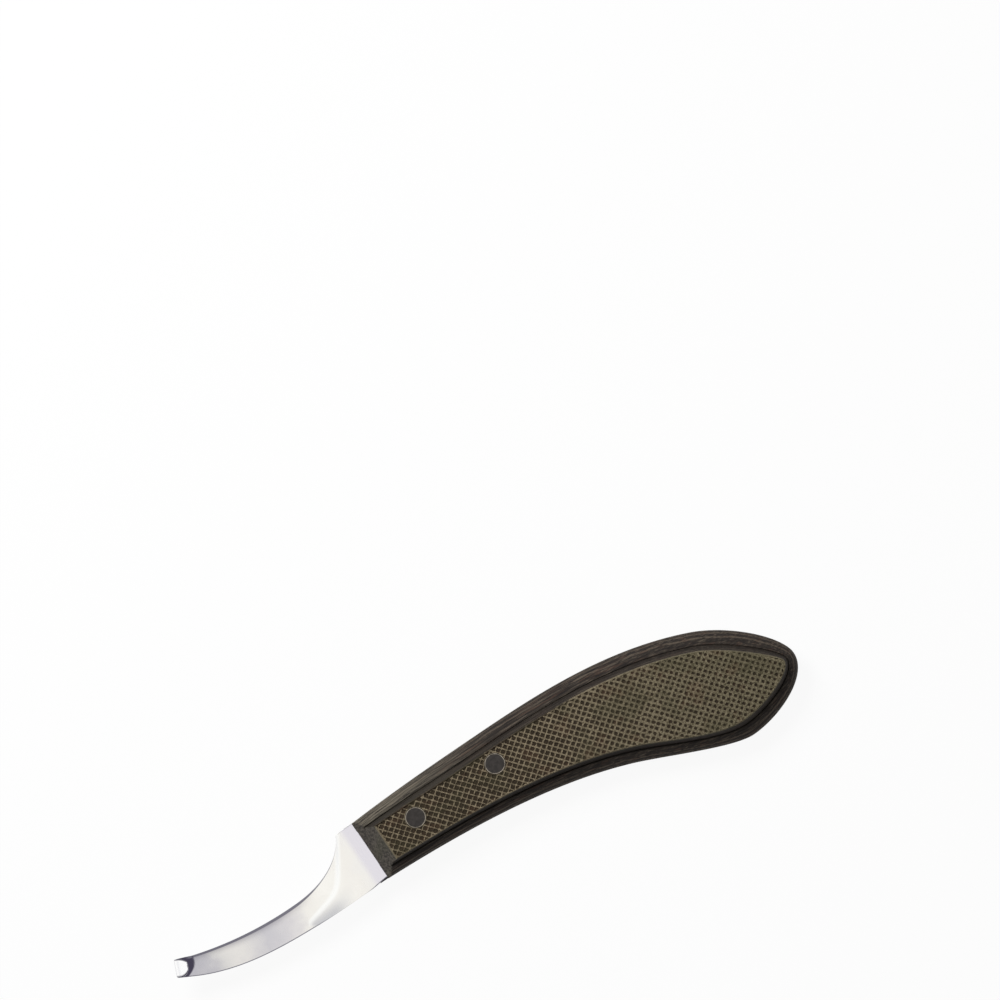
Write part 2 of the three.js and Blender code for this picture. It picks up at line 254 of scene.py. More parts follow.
# Round the handle from the front of its belly by the heel and the butt to the front of its
# back, with the width of the rim there and the reaches of the panel's own outline.
HANDLE = [
    (Station(FRONT, -11.0, -2, 0, 28.7), 4.3, (0, 35)),
    (Station(BUTT - 59, -23.9, -21, 25.3, 10.2), 5.5, (24.4, 10.8)),
    (Station(BUTT - 24, -37.2, 0, 7.2, 9.4), 5.9, (10.0, 6.8)),
    (Station(BUTT, -23.4, 90, 8.4, 6.1), 4.1, (3.9, 1.6)),
    (Station(BUTT - 23, -0.5, 157, 12.2, 28.1), 6.1, (8.6, 26.2)),
    (Station(FRONT + 39.5, 10.0, 180, 24.5, 14.1), 5.8, (25.1, 18)),
    (Station(FRONT, 9.0, 183.6, 12.7, 0), 4.6, (12, 0)),
]
OUTLINE_STEPS = (900, 450, 450, 400, 850, 450)
RING_STEPS = 760
SQUARE_SHARES, SQUARE_RUN = (0.05, 0.3), 3.0
BELLY_FOOT_STEPS, SEAT_STEPS, BACK_FOOT_STEPS = 12, 36, 10
RAMP_CLEARANCE = 0.6
PANEL_SEEDS = {"top_scale": 40, "bottom_scale": 20}

# A scale's side in (share, height), but for its bevel. share runs from the outer outline, 0, to
# the panel's, 1.
JOINT_EDGE = [(0.025, JOINT_Z), (0.0, 0.2), (0.0, 0.65)]
GROOVE = [(0.665, 4.62), (0.68, 4.48), (0.7, 4.52), (0.715, 4.85)]
WALL = [
    (0.745, 5.25), (0.8, 6.1), (0.86, 7.0), (0.92, 7.92), (0.96, 8.42), (0.985, 8.64), (1, HALF),
]

# Where the looks of the side change. Round the rim, places run from the belly's front, 0, to
# the back's, 1: painted shade on the wall, darkest at both ends, and on the panel's back edge.
WALL_DARK = (
    (0, 0.18, 0.32, 0.45, 0.53, 0.6, 0.8, 0.9, 1),
    (0.85, 0.85, 0.6, 0.5, 0.5, 0.3, 0.4, 0.6, 0.85),
)
BACK_RUN, UNLIT_RUN, UNLIT_EDGE = (0.35, 0.65), (0.74, 0.8), (0.12, 0.45)
WALL_RUN = (RIM_SHARE - 0.08, RIM_SHARE + 0.01)
SHOWN_RUN, RAMP_SHOWN_RUN = (HALF - 0.8, HALF - 0.1), (HALF - 0.7, HALF - 0.02)


def panel_station(station, rim, reaches):
    outward = direction(station.heading - 90)
    shift_x = outward[0] * rim * (station.x > FRONT)
    return Station(station.x - shift_x, station.y - outward[1] * rim, station.heading, *reaches)


def blank_outline(stations):
    points = chain(stations, OUTLINE_STEPS)
    ahead = np.linspace(BLANK_LEAD, 0, LEAD_STEPS, endpoint=False)[:, None] * (-1, 0)
    return np.vstack((points[0] + ahead, points, points[-1] + ahead[::-1]))


OUTER = blank_outline([station for station, _, _ in HANDLE])
PANEL = blank_outline([panel_station(*row) for row in HANDLE])


def rim_levels():
    """(share, z) up a scale's side: the joint's edge, the side, the rounded bevel, the groove
    at its top and the wall."""
    t = np.linspace(0, 1, BEVEL_STEPS)[:, None]
    bow = (RIM_SHARE * BEVEL_BOW[0], RIM_TOP_Z * BEVEL_BOW[1])
    low, mid, top = np.array([(0, RIM_SIDE_Z), bow, (RIM_SHARE, RIM_TOP_Z)])
    bevel = (1 - t) ** 2 * low + 2 * (1 - t) * t * mid + t**2 * top
    side = [*JOINT_EDGE, *map(tuple, bevel)]
    seat_share = np.interp(SEAT_Z, [z for _, z in side], [s for s, _ in side])
    seat = [(seat_share, SEAT_Z - SEAT_STEP), (seat_share, SEAT_Z)]
    return [*sorted([*side, *seat], key=lambda level: level[1]), *GROOVE, *WALL]


def ramp_x(z, lead):
    """Where the front of a scale stands at a height: under the seat square, above it a ramp. The
    triangulation rounds heights a little, so the change lies halfway up the step."""
    on_ramp = z > SEAT_Z - SEAT_STEP / 2
    return FRONT + GLUE - np.where(on_ramp, lead - RAMP_RUN * (z - SEAT_Z) / (HALF - SEAT_Z), 0)


def ring(share, z, lead):
    """The scale's outline at one level, from the ramp's belly side round to its back side. The
    foot of the ramp keeps the handle's whole width."""
    square = 1 - smoothstep(OUTER[:, :1], FRONT, FRONT + SQUARE_RUN)
    square = square * (1 - smoothstep(share, *SQUARE_SHARES))
    flat = OUTER + (PANEL - OUTER) * share * (1 - square)
    start_x = ramp_x(z, lead)
    index = np.arange(len(flat), dtype=float)
    half = len(flat) // 2
    first = np.interp(start_x, flat[:half, 0], index[:half])
    last = np.interp(-start_x, -flat[half:, 0], index[half:])
    where = np.linspace(first, last, RING_STEPS)
    return at_height(np.column_stack([np.interp(where, index, flat[:, k]) for k in (0, 1)]), z)


def tang_outline():
    """The inlet for the tang, from the front of its belly side round its end."""
    half = TANG_HALF_WIDTH + TANG_GAP
    end, radius = TANG_END + TANG_GAP, TANG_END_RADIUS + TANG_GAP
    turn = np.radians(np.linspace(-90, 0, TANG_CORNER_STEPS))
    corner = radius * np.column_stack((np.cos(turn), np.sin(turn)))
    low = corner + (end - radius, -half + radius)
    high = (low * (1, -1))[::-1]
    front = FRONT + GLUE
    return np.vstack(([(front, -half)], low, high, [(front, half)]))


# The checkering: a net of fine ridges round square pits, pressed into the panel.
NET_PITCH = 1.5875
NET_TURNS = (40.5, 126.0)
NET_STEPS = (-0.5, -0.34, -0.2, -0.1, 0.0, 0.1, 0.2, 0.34)
NET_DEPTH = 0.36
NET_CLEARANCE = 0.09
RIDGE_HALF_WIDTH, RIDGE_GROWTH, RIDGE_GROWTH_RUN = 0.07, 0.2, (0.25, 0.88)
RIDGE_UNEVEN, RIDGE_WANDER, RIDGE_SLOPE = 0.05, 0.07, 0.26
UNEVEN_SIZE, WANDER_SIZE, WORN_SIZE, DEPTH_SIZE, DIP_SIZE = 2.5, 0.9, 7, 1.6, 2.5
BORDER_WIDTH = 0.06
CROSSING_RISE = ((0.0, 0.4, 0.8), (0.8, 0.84, 0.92))
WORN_START, WORN_END, WORN_FIELD = (25, 45), (72, 92), (-0.25, 0.5)
WORN_DEPTH, DEPTH_UNEVEN, PANEL_DIP, DIP_RUN = 0.55, 0.15, 0.03, (0, 0.3)


def net_points(loop):
    """Places for the panel's mesh, in rows that follow the ridges."""
    turns = np.array([direction(turn) for turn in NET_TURNS])
    low, high = loop.min(0), loop.max(0)
    corners = [(low[0], low[1]), (low[0], high[1]), (high[0], low[1]), high]
    spans = [np.array([turn @ corner for corner in corners]) for turn in turns]
    lines = []
    for span in spans:
        first, last = int(span.min() / NET_PITCH) - 1, int(span.max() / NET_PITCH) + 2
        lines.append((np.arange(first, last)[:, None] + np.array(NET_STEPS)).ravel() * NET_PITCH)
    a, b = np.meshgrid(*lines)
    return np.column_stack((a.ravel(), b.ravel())) @ np.linalg.inv(turns).T


def nearest(points, marks):
    tree = KDTree(len(marks))
    for k, (x, y) in enumerate(marks):
        tree.insert((x, y, 0), k)
    tree.balance()
    return np.array([tree.find((x, y, 0))[2] for x, y in points])


def field(points, size, seed):
    """Smooth noise from about -1 to 1 over places in the plane."""
    return np.array([noise.noise(Vector((x / size, y / size, seed))) for x, y in points])


def net_relief(points):
    """How high the net stands at each place: 0 on a pit's floor, 1 on a ridge."""
    along = np.clip((points[:, 0] - FRONT) / (BUTT - FRONT), 0, 1)
    half_width = RIDGE_HALF_WIDTH + RIDGE_GROWTH * smoothstep(along, *RIDGE_GROWTH_RUN)
    half_width = half_width + RIDGE_UNEVEN * field(points, UNEVEN_SIZE, 1)
    rises = []
    for k, turn in enumerate(NET_TURNS):
        line = points @ direction(turn) / NET_PITCH
        off = np.abs(line - np.round(line)) * NET_PITCH
        off = off + RIDGE_WANDER * field(points, WANDER_SIZE, 3 + k)
        rises.append(1 - smoothstep(off, half_width, half_width + RIDGE_SLOPE))
    crossing = rises[1] * np.interp(along, *CROSSING_RISE)
    return 1 - (1 - rises[0]) * (1 - crossing)


def panel_sheet(skin, loop, seed):
    """The checkered face within the panel's edge and round the rivets."""
    rivets = [circle(SINK_RADIUS, x) for x in RIVET_X.values()]
    marks = np.vstack((loop, *rivets))
    places = net_points(loop)
    places = places[within(places, [loop, *rivets])]
    places = places[nearest(places, marks) > NET_CLEARANCE]

    def relief(points):
        border = 1 - smoothstep(nearest(points, marks), BORDER_WIDTH, BORDER_WIDTH + RIDGE_SLOPE)
        return np.maximum(net_relief(points), border)

    def depth(points):
        x = points[:, 0]
        along = smoothstep(x, *WORN_START) * (1 - smoothstep(x, *WORN_END))
        worn = along * smoothstep(field(points, WORN_SIZE, seed), *WORN_FIELD)
        uneven = 1 + DEPTH_UNEVEN * field(points, DEPTH_SIZE, seed + 5)
        return NET_DEPTH * (1 - WORN_DEPTH * worn) * uneven

    def height(points):
        edge = smoothstep(nearest(points, marks), *DIP_RUN)
        dip = PANEL_DIP * (1 + field(points, DIP_SIZE, seed + 9)) * edge
        return HALF - depth(points) * (1 - relief(points)) - dip

    # Painted shade: near the panel's back edge the ridges are darkened and the edge loses its
    # painted highlight.
    def unlit(points):
        back_edge = loop[int(UNLIT_RUN[1] * RING_STEPS):RING_STEPS]
        return 1 - smoothstep(nearest(points, back_edge), *UNLIT_EDGE)

    skin.fill([loop, *rivets], height, places, ridge=relief, panel=1.0, unlit=unlit)


def scale_piece(node):
    lead = SCALE_LEADS[node]
    skin = Skin(ridge=1.0, panel=0.0, ramp=0.0, wall=0.0, back=0.5, unlit=0.0)
    levels = rim_levels()
    rings = [ring(share, z, lead) for share, z in levels]
    round_rim = np.linspace(0, 1, RING_STEPS)
    # Painted shade on the wall, by place round the rim.
    dark = np.interp(round_rim, *WALL_DARK)
    wall = [smoothstep(share, *WALL_RUN) for share, _ in levels]
    shown = [smoothstep(z, *SHOWN_RUN) for _, z in levels]
    looks = {"panel": np.repeat(shown, RING_STEPS), "wall": np.outer(wall, dark).ravel()}
    for name, run in (("back", BACK_RUN), ("unlit", UNLIT_RUN)):
        looks[name] = np.tile(smoothstep(round_rim, *run), len(levels))
    skin.grid(rings, **looks)

    # The front: two feet beside the tang below the seat, then the lip and the ramp.
    tang = tang_outline()
    feet = [k for k, (_, z) in enumerate(levels) if z < SEAT_Z]
    seat_row = feet[-1]
    ends = [(r[0], r[-1]) for r in rings]
    belly_end, back_end = ends[seat_row]
    front_width = back_end[1] - belly_end[1]
    cuts = [(corner[1] - belly_end[1]) / front_width for corner in (tang[0], tang[-1])]
    runs = ((0, cuts[0], BELLY_FOOT_STEPS), (*cuts, SEAT_STEPS), (cuts[1], 1, BACK_FOOT_STEPS))
    shares = np.unique(np.concatenate([np.linspace(*run) for run in runs]))

    def front_row(k):
        low, high = ends[k]
        return low + (high - low) * shares[:, None]

    # The ramp, laid out by its y and z.
    rising = range(seat_row, len(levels))
    foot, brow = front_row(seat_row), front_row(len(levels) - 1)
    belly_side, back_side = ([ends[k][end] for k in rising] for end in (0, 1))
    border = np.vstack((belly_side, brow[1:-1], back_side[::-1], foot[1:-1][::-1]))
    clear = [k for k in rising[1:-1] if abs(levels[k][1] - RIM_TOP_Z) > RAMP_CLEARANCE]
    between = np.vstack([front_row(k)[2:-2] for k in clear])
    made, triangles = triangulated([border[:, 1:]], between[:, 1:])
    height = made[:, 1]
    places = np.column_stack((ramp_x(height, lead), made))
    first = skin.add(places, panel=smoothstep(height, *RAMP_SHOWN_RUN), ramp=1.0)
    skin.faces += (triangles + first).tolist()
    for corner, end, count in ((tang[0], 0, BELLY_FOOT_STEPS), (tang[-1], 1, BACK_FOOT_STEPS)):
        rows = []
        for k in feet:
            outer, inner = ends[k][end], np.array((*corner, levels[k][1]))
            rows.append(outer + (inner - outer) * np.linspace(0, 1, count)[:, None])
        skin.grid(rows)

    # The inlet of the tang, and the joint's face round it.
    skin.grid([at_height(tang, levels[k][1]) for k in feet])
    belly_foot = np.linspace(ends[0][0][:2], tang[0], BELLY_FOOT_STEPS)[:-1]
    back_foot = np.linspace(tang[-1], ends[0][1][:2], BACK_FOOT_STEPS)
    joint = np.vstack((rings[0][:, :2], back_foot[::-1][1:], tang[::-1][1:], belly_foot[::-1]))
    skin.fill([joint[:-1]], JOINT_Z)
    over_inlet = (foot[:, 1] > tang[0][1] + TOUCH) & (foot[:, 1] < tang[-1][1] - TOUCH)
    seat_front = foot[over_inlet][:, :2]
    holes = [circle(RIVET_HOLE_RADIUS, x) for x in RIVET_X.values()]
    seat_z = levels[seat_row][1]
    # The seat under the blade takes the wall's full painted shade.
    skin.fill([np.vstack((tang, seat_front[::-1])), *holes], seat_z, wall=1.0)
    for x, hole in zip(RIVET_X.values(), holes):
        sink = circle(SINK_RADIUS, x)
        steps = ((hole, seat_z), (hole, SINK_Z), (sink, SINK_Z), (sink, HALF))
        skin.grid([at_height(*step) for step in steps], closed=True)

    front_edge = brow[::-1][1:-1, :2]
    panel_sheet(skin, np.vstack((rings[-1][:, :2], front_edge)), PANEL_SEEDS[node])
    return skin.build(node.replace("scale", "checkered_scale"), mirrored=lead > 0, crease=40)


# ------------------------------------------------------------------ blade

NOTCH_X, NOTCH_Y = -23.7, 8.9
WAIST_X, WAIST_EDGE_Y, WAIST_SPINE_Y = -45.1, -1.7, -10.75
RICASSO_EDGE_Y, RICASSO_SPINE_Y, ROOT_SPINE_Y = 9.0, -10.7, -10.35
BLADE_THICKNESS = 2 * BLADE_HALF
SPINE_THICKNESS, GROUND_THICKNESS, EDGE_THICKNESS = 2.0, 1.3, 0.3
EDGE_BEVEL, HOOK_BEVEL, CORNER, SEAM = 0.85, 0.6, 0.25, 0.06
HONED_FADE, HONED_SOFT = 2.4, 0.5
SPINE_DARK_RUN, ROOT_DARK_RUN = (34, 46), (3.5, 8)
CUP_BOW, CUP_CENTRE, CUP_START = 0.14, 1.1, (-0.8, -0.25)
CUP_EDGE_TURN, CUP_SPINE_TURN, TAB_TURN = (0.1, 0.5), (0.3, 1.0), (1.5, 1.9)
BEND_LINE, BEND_LINE_WIDTH = 0.35, 0.14
LINE_RUN, BEVEL_RUN, BAND_RUN, BEVEL_NARROWING = (0, 7), (8, 26), (11, 30), 0.65
PLUNGE_WIDTH, PLUNGE_SHARPNESS, PLUNGE_SHARE = 2.4, 0.6, (0.03, 0.25)
DULL_RUN, DULL_SHARE = (26, 36), (0.03, 0.45)
RISE_START_X, RISE = -30.0, 2.0
HOOK_REACH, HOOK_HALF_HEIGHT, HOOK_THICKNESS = 5.7, 3.85, 1.1
HOOK_HALF_WIDTH, HOOK_FLARE = 2.75, 0.8
HOOK_HEADING, HOOK_WRAP, HOOK_ROUNDING = 157, 160, 35
HOOK_EDGE_END_SHARE, HOOK_SPINE_END_SHARE = 0.6, 0.25
HOOK_BASE = np.array((BLADE_TIP + HOOK_REACH + 0.25, 0.65))
HOOK_FORWARD, HOOK_ACROSS = direction(HOOK_HEADING), direction(HOOK_HEADING - 90)
BLADE_STEPS = (14, 90, 110)
HOOK_STEPS = 80
BACK_STEPS, FACE_STEPS = 10, 44
# Points of a section, which runs from the spine over the back to the edge, and over the face.
EDGE_POINTS, FACE_POINTS = slice(BACK_STEPS + 1, BACK_STEPS + 4), slice(BACK_STEPS + 2, None)
SPINE_POINTS = [0, -2, -1]

edge_end = HOOK_BASE + HOOK_ACROSS * HOOK_HALF_WIDTH
spine_end = HOOK_BASE - HOOK_ACROSS * (HOOK_HALF_WIDTH + HOOK_FLARE)
EDGE = [
    Station(FRONT, RICASSO_EDGE_Y, 183, 0, 2),
    Station(NOTCH_X, NOTCH_Y, 183, 2, 0),
    Station(NOTCH_X, NOTCH_Y, -109, 0, 1.7),
    Station(WAIST_X, WAIST_EDGE_Y, 181, 15.9, 10.9),
    Station(*edge_end, 163.1, 13, 0),
]
SPINE = [
    Station(FRONT, ROOT_SPINE_Y, 183, 0, 2),
    Station(NOTCH_X - 0.7, RICASSO_SPINE_Y - 0.35, 180, 2, 6),
    Station(WAIST_X, WAIST_SPINE_Y, 177, 10.3, 10.5),
    Station(*spine_end, 152.3, 14.3, 0),
]
PLUNGE = stretch(
    Station(NOTCH_X + 1.3, NOTCH_Y - 0.9, -121, 0, 18.6),
    Station(WAIST_X + 1.4, WAIST_SPINE_Y + 0.95, 195, 13.3, 0),
    200,
)


def ground_share(places):
    """How far the grinding has bitten: 0 on the flat ricasso, 1 on the ground face."""
    past = np.min(np.linalg.norm(places[:, None] - PLUNGE, axis=2), axis=1)
    plunge_x = np.interp(-places[:, 1], -PLUNGE[:, 1], PLUNGE[:, 0])
    return smoothstep(np.where(places[:, 0] > plunge_x, 0, past), 0, PLUNGE_WIDTH)


def blade_section(width, taper, ground, bevel_width):
    """One section: distances across from the spine and heights above the back, and for each
    point how much painted dark reflection and shade it takes along the edge and the spine, and
    how far it lies on the upper face. taper runs from 0 at the waist to 1 at the hook."""
    def lerp(a, b, share):
        return a + (b - a) * share

    at_edge = ground(np.array([width]))[0]
    spine = lerp(SPINE_THICKNESS, HOOK_THICKNESS, taper)
    start = lerp(GROUND_THICKNESS, HOOK_THICKNESS, taper)
    bevel = lerp(CORNER, bevel_width, at_edge)
    edge = lerp(EDGE_THICKNESS, 0.5 * HOOK_THICKNESS, taper)
    edge_top = lerp(BLADE_THICKNESS - CORNER, edge, at_edge)
    back = np.linspace(CORNER, width - CORNER, BACK_STEPS)
    flat = np.linspace(width - bevel - SEAM, CORNER + SEAM, FACE_STEPS)
    face = np.array([width - bevel, *flat, CORNER])
    top = lerp(BLADE_THICKNESS, lerp(spine, start, face / width), ground(face))
    corner_top = lerp(BLADE_THICKNESS, spine, ground(np.array([0.0]))[0])
    across = np.concatenate(([0], back, [width, width], face, [0]))
    edge_side = [min(CORNER, edge / 3), edge_top]
    up = np.concatenate(([CORNER], 0 * back, edge_side, top, [corner_top - CORNER]))
    off_bevel = (width - bevel - across) / HONED_FADE
    honed = HONED_SOFT * at_edge * (1 - np.clip(off_bevel, 0, 1)) ** 2
    honed[:BACK_STEPS + 1] = 0
    honed[EDGE_POINTS] = at_edge
    honed[SPINE_POINTS] = 1
    upper = np.zeros(len(across))
    upper[FACE_POINTS] = 1
    return across, up, honed, upper


def blade_rows():
    """Rows across the blade: points, and at each how much it takes of painted dark reflection and
    shade along the edge and the spine, of painted shade in the hollow before the hook, of the
    painted highlight where the grind starts, of painted shade on the ricasso's spine corner
    behind it, and of the painted highlight on the curl's end."""
    edge = np.vstack((chain(EDGE[:2], BLADE_STEPS[:1])[:-1], chain(EDGE[2:], BLADE_STEPS[1:])))
    spine = chain(SPINE, BLADE_STEPS)
    for start, end in zip(spine, edge):
        width = np.linalg.norm(end - start)
        middle_x = (start[0] + end[0]) / 2
        taper = np.clip((WAIST_X - middle_x) / (WAIST_X - HOOK_BASE[0]), 0, 1)
        rise = RISE * max(0.0, (RISE_START_X - middle_x) / (RISE_START_X - HOOK_BASE[0])) ** 2
        past_notch = NOTCH_X - end[0]
        narrow = 1 - BEVEL_NARROWING * (1 - smoothstep(past_notch, *BEVEL_RUN))
        bevel = (EDGE_BEVEL + (HOOK_BEVEL - EDGE_BEVEL) * taper) * narrow

        def at(across):
            return start + np.outer(across / width, end - start)

        across, up, honed, upper = blade_section(width, taper, lambda a: ground_share(at(a)), bevel)
        line_and_band = (smoothstep(past_notch, *run) for run in (LINE_RUN, BAND_RUN))
        honed *= np.where(honed > HONED_SOFT, *line_and_band)
        # Painted shade: a dark line along the spine, growing toward the hook, and near the handle.
        at_root = 1 - smoothstep(FRONT - middle_x, *ROOT_DARK_RUN)
        spine_dark = max(smoothstep(-middle_x, *SPINE_DARK_RUN), at_root)
        honed[SPINE_POINTS] = taper * spine_dark, spine_dark, spine_dark
        bitten, from_spine = ground_share(at(across)) * upper, across / width
        # Painted highlight: a bright line where the grind starts.
        line = np.clip(4 * bitten * (1 - bitten), 0, 1) ** PLUNGE_SHARPNESS
        plunge = line * smoothstep(from_spine, *PLUNGE_SHARE)
        # Painted shade: the ricasso greys toward its spine corner behind that line.
        dull = upper * (1 - bitten) * smoothstep(-middle_x, *DULL_RUN)
        dull = dull * (1 - smoothstep(from_spine, *DULL_SHARE))
        points = np.column_stack((at(across), up + rise - BLADE_HALF))
        yield points, honed, upper * in_cup(at(across)), plunge, dull, 0 * honed


def in_cup(flat):
    """How far places seen from above lie in the painted shade of the hollow before the hook's bend.
    """
    off = flat - HOOK_BASE
    bow = CUP_BOW * (off @ HOOK_ACROSS - CUP_CENTRE) ** 2
    return smoothstep(off @ HOOK_FORWARD - bow, *CUP_START)


def hook_rows():
    """Rows round the curl, as for the blade."""
    lean = math.atan(2 * RISE / (RISE_START_X - HOOK_BASE[0]))
    wrap, rounding = math.radians(HOOK_WRAP), math.radians(HOOK_ROUNDING)
    end_shares = (HOOK_EDGE_END_SHARE, HOOK_SPINE_END_SHARE)
    turned_up = np.array(((math.cos(lean), math.sin(lean)), (-math.sin(lean), math.cos(lean))))
    for turn in np.linspace(0, wrap, HOOK_STEPS + 1)[1:]:
        flare = HOOK_FLARE * max(0, 1 - turn / (math.pi / 2))
        late = max(0, 1 - (wrap - turn) / rounding)
        narrow = [math.sqrt(1 - (1 - share**2) * late**2) for share in end_shares]
        edge_side, spine_side = HOOK_HALF_WIDTH * narrow[0], (HOOK_HALF_WIDTH + flare) * narrow[1]
        width = edge_side + spine_side
        across, up, honed, upper = blade_section(width, 1, lambda a: np.ones(len(a)), HOOK_BEVEL)
        outer = np.array((HOOK_REACH * math.sin(turn), HOOK_HALF_HEIGHT * (1 - math.cos(turn))))
        inward = np.array((-HOOK_HALF_HEIGHT * math.sin(turn), HOOK_REACH * math.cos(turn)))
        profile = (outer + np.outer(up, inward / np.linalg.norm(inward))) @ turned_up
        side = across - spine_side
        flat = HOOK_BASE + np.outer(profile[:, 0], HOOK_FORWARD) + np.outer(side, HOOK_ACROSS)
        points = np.column_stack((flat, profile[:, 1] + RISE - BLADE_HALF))
        # Painted shade in the hollow before the bend, and on the curl's edges as it turns over.
        cup = upper * in_cup(flat)
        cup[EDGE_POINTS] = smoothstep(turn, *CUP_EDGE_TURN)
        cup[[0, 1, -1]] = smoothstep(turn, *CUP_SPINE_TURN)
        # Painted shade: a dark line across the curl where it bends over.
        bend = BEND_LINE * math.exp(-(((turn - math.pi / 2) / BEND_LINE_WIDTH) ** 2))
        honed = np.maximum(honed, bend)
        # Painted highlight: the top of the curl's end is white.
        yield points, honed, cup, 0 * cup, 0 * cup, (1 - upper) * smoothstep(turn, *TAB_TURN)


def blade_piece():
    """The blade with its hook, closed at the hook's end, and the tang behind its shoulders."""
    skin = Skin(honed=0.0, cup=0.0, plunge=0.0, dull=0.0, tab=0.0)
    rows, *looks = (np.array(kind) for kind in zip(*blade_rows(), *hook_rows()))
    skin.grid(rows, closed=True, **{name: look.ravel() for name, look in zip(skin.usual, looks)})
    tip = rows[-1]
    # The curl's end face takes full painted dark shade.
    skin.grid([tip, np.broadcast_to(tip.mean(0), tip.shape)], closed=True, honed=1.0)

    # The tang: its outline at both faces, and the shoulders' face round its root.
    outline = tang_outline() - (GLUE, 0)
    half = TANG_HALF_WIDTH
    outline[:, 1] *= half / (half + TANG_GAP)
    outline[1:-1, 0] -= TANG_GAP - GLUE
    holes = [circle(RIVET_HOLE_RADIUS, x) for x in RIVET_X.values()]
    levels = (-BLADE_HALF + CORNER, BLADE_HALF - CORNER)
    for z in levels:
        skin.fill([outline, *holes], z)
    skin.grid([at_height(outline, z) for z in levels])
    for hole in holes:
        skin.grid([at_height(hole, z) for z in levels], closed=True)
    shoulder = rows[0]
    low, high = levels
    root = np.array([(-half, low), (half, low), (half, high), (-half, high)])
    made, triangles = triangulated([shoulder[:, 1:], root])
    first = skin.add(np.column_stack((np.full(len(made), FRONT), made)))
    skin.faces += (triangles + first).tolist()
    return skin.build("ground_blade", crease=22)


# ------------------------------------------------------------------ rivets

HEAD_THICKNESS, HEAD_EDGE, HEAD_CROWN = 1.6, 0.18, 0.03
RIM_RUN = (HEAD_RADIUS - 0.32, HEAD_RADIUS - 0.18)
FACE_RADIUS, FACE_RINGS, WEAR_RADIUS = HEAD_RADIUS - 0.34, 12, HEAD_RADIUS - 0.25
EDGE_TURNS = (15, 90, 6)
TUBE_RADIUS, STUD_RADIUS, BORE_RADIUS, TUBE_LENGTH = 2.2, 1.2, 1.5, 4.8
STUD_GAP, STUD_CHAMFER, STUD_SHOULDER = 0.3, 0.2, 0.5


def turned_piece(name, profile, x, steps=96):
    """A turned part: (radius, z) down its profile, shallowly domed where the profile says."""
    skin = Skin(rim=0.0)
    angles = np.linspace(0, 2 * math.pi, steps, endpoint=False)
    rows = [
        np.column_stack((x + r * np.cos(angles), r * np.sin(angles), np.full(steps, z)))
        for r, z, _ in profile
    ]
    skin.grid(rows, closed=True, rim=np.repeat([rim for _, _, rim in profile], steps))
    return skin.build(name, crease=50)


def head_profile(top):
    """A head ground flush: a face very slightly crowned, a rounded edge with a painted highlight
    and a straight side. top is 1 for a head in the upper panel and -1 for one in the lower."""
    def crowned(r):
        return r, top * (HALF - HEAD_CROWN * (r / HEAD_RADIUS) ** 2), smoothstep(r, *RIM_RUN)

    def rounded(t):
        inset, rise = HEAD_EDGE * (1 - math.sin(t)), HEAD_EDGE * math.cos(t)
        return HEAD_RADIUS - inset, top * (HALF - HEAD_CROWN - HEAD_EDGE + rise), 1.0

    face = np.linspace(0, FACE_RADIUS, FACE_RINGS)
    radii = [*face, WEAR_RADIUS, HEAD_RADIUS - HEAD_EDGE]
    turns = np.radians(np.linspace(*EDGE_TURNS))
    foot = (HEAD_RADIUS, top * (HALF - HEAD_THICKNESS), 0.0)
    return [*map(crowned, radii), *map(rounded, turns), foot]


def rivet_pieces(place, x):
    """The two halves of a rivet: a head with a stud, and a head with the tube that takes it."""
    seat = HALF - HEAD_THICKNESS
    end, mouth = -seat + STUD_GAP, seat - TUBE_LENGTH
    stud = [
        (STUD_RADIUS, seat, 0), (STUD_RADIUS, -seat + STUD_SHOULDER, 0),
        (STUD_RADIUS - STUD_CHAMFER, end, 0), (0, end, 0),
    ]
    tube = [
        (TUBE_RADIUS, -seat, 0), (TUBE_RADIUS, mouth, 0),
        (BORE_RADIUS, mouth, 0), (BORE_RADIUS, -seat, 0), (0, -seat, 0),
    ]
    male = turned_piece(f"{place}_rivet_head_and_stud", [*head_profile(1), *stud], x)
    female = turned_piece(f"{place}_rivet_head_and_tube", [*head_profile(-1), *tube], x)
    return male, female


# ------------------------------------------------------------------ materials

PLY = 0.62
# The blade's colour along the knife, by place in millimetres from the middle of the box:
# painted reflection, the light and dark bands that the bowed blade shows of its surroundings.
POLISH_SPAN = (-108.0, -34.0)
POLISH = [
    (-106, (190, 188, 195)), (-99, (190, 188, 194)), (-95.5, (197, 195, 199)),
    (-91, (220, 218, 215)), (-86, (229, 226, 222)), (-77, (205, 203, 207)),
    (-69, (216, 213, 215)), (-61, (243, 240, 234)), (-53, (250, 248, 242)),
    (-44, (244, 241, 235)), (-36, (241, 239, 236)),
]


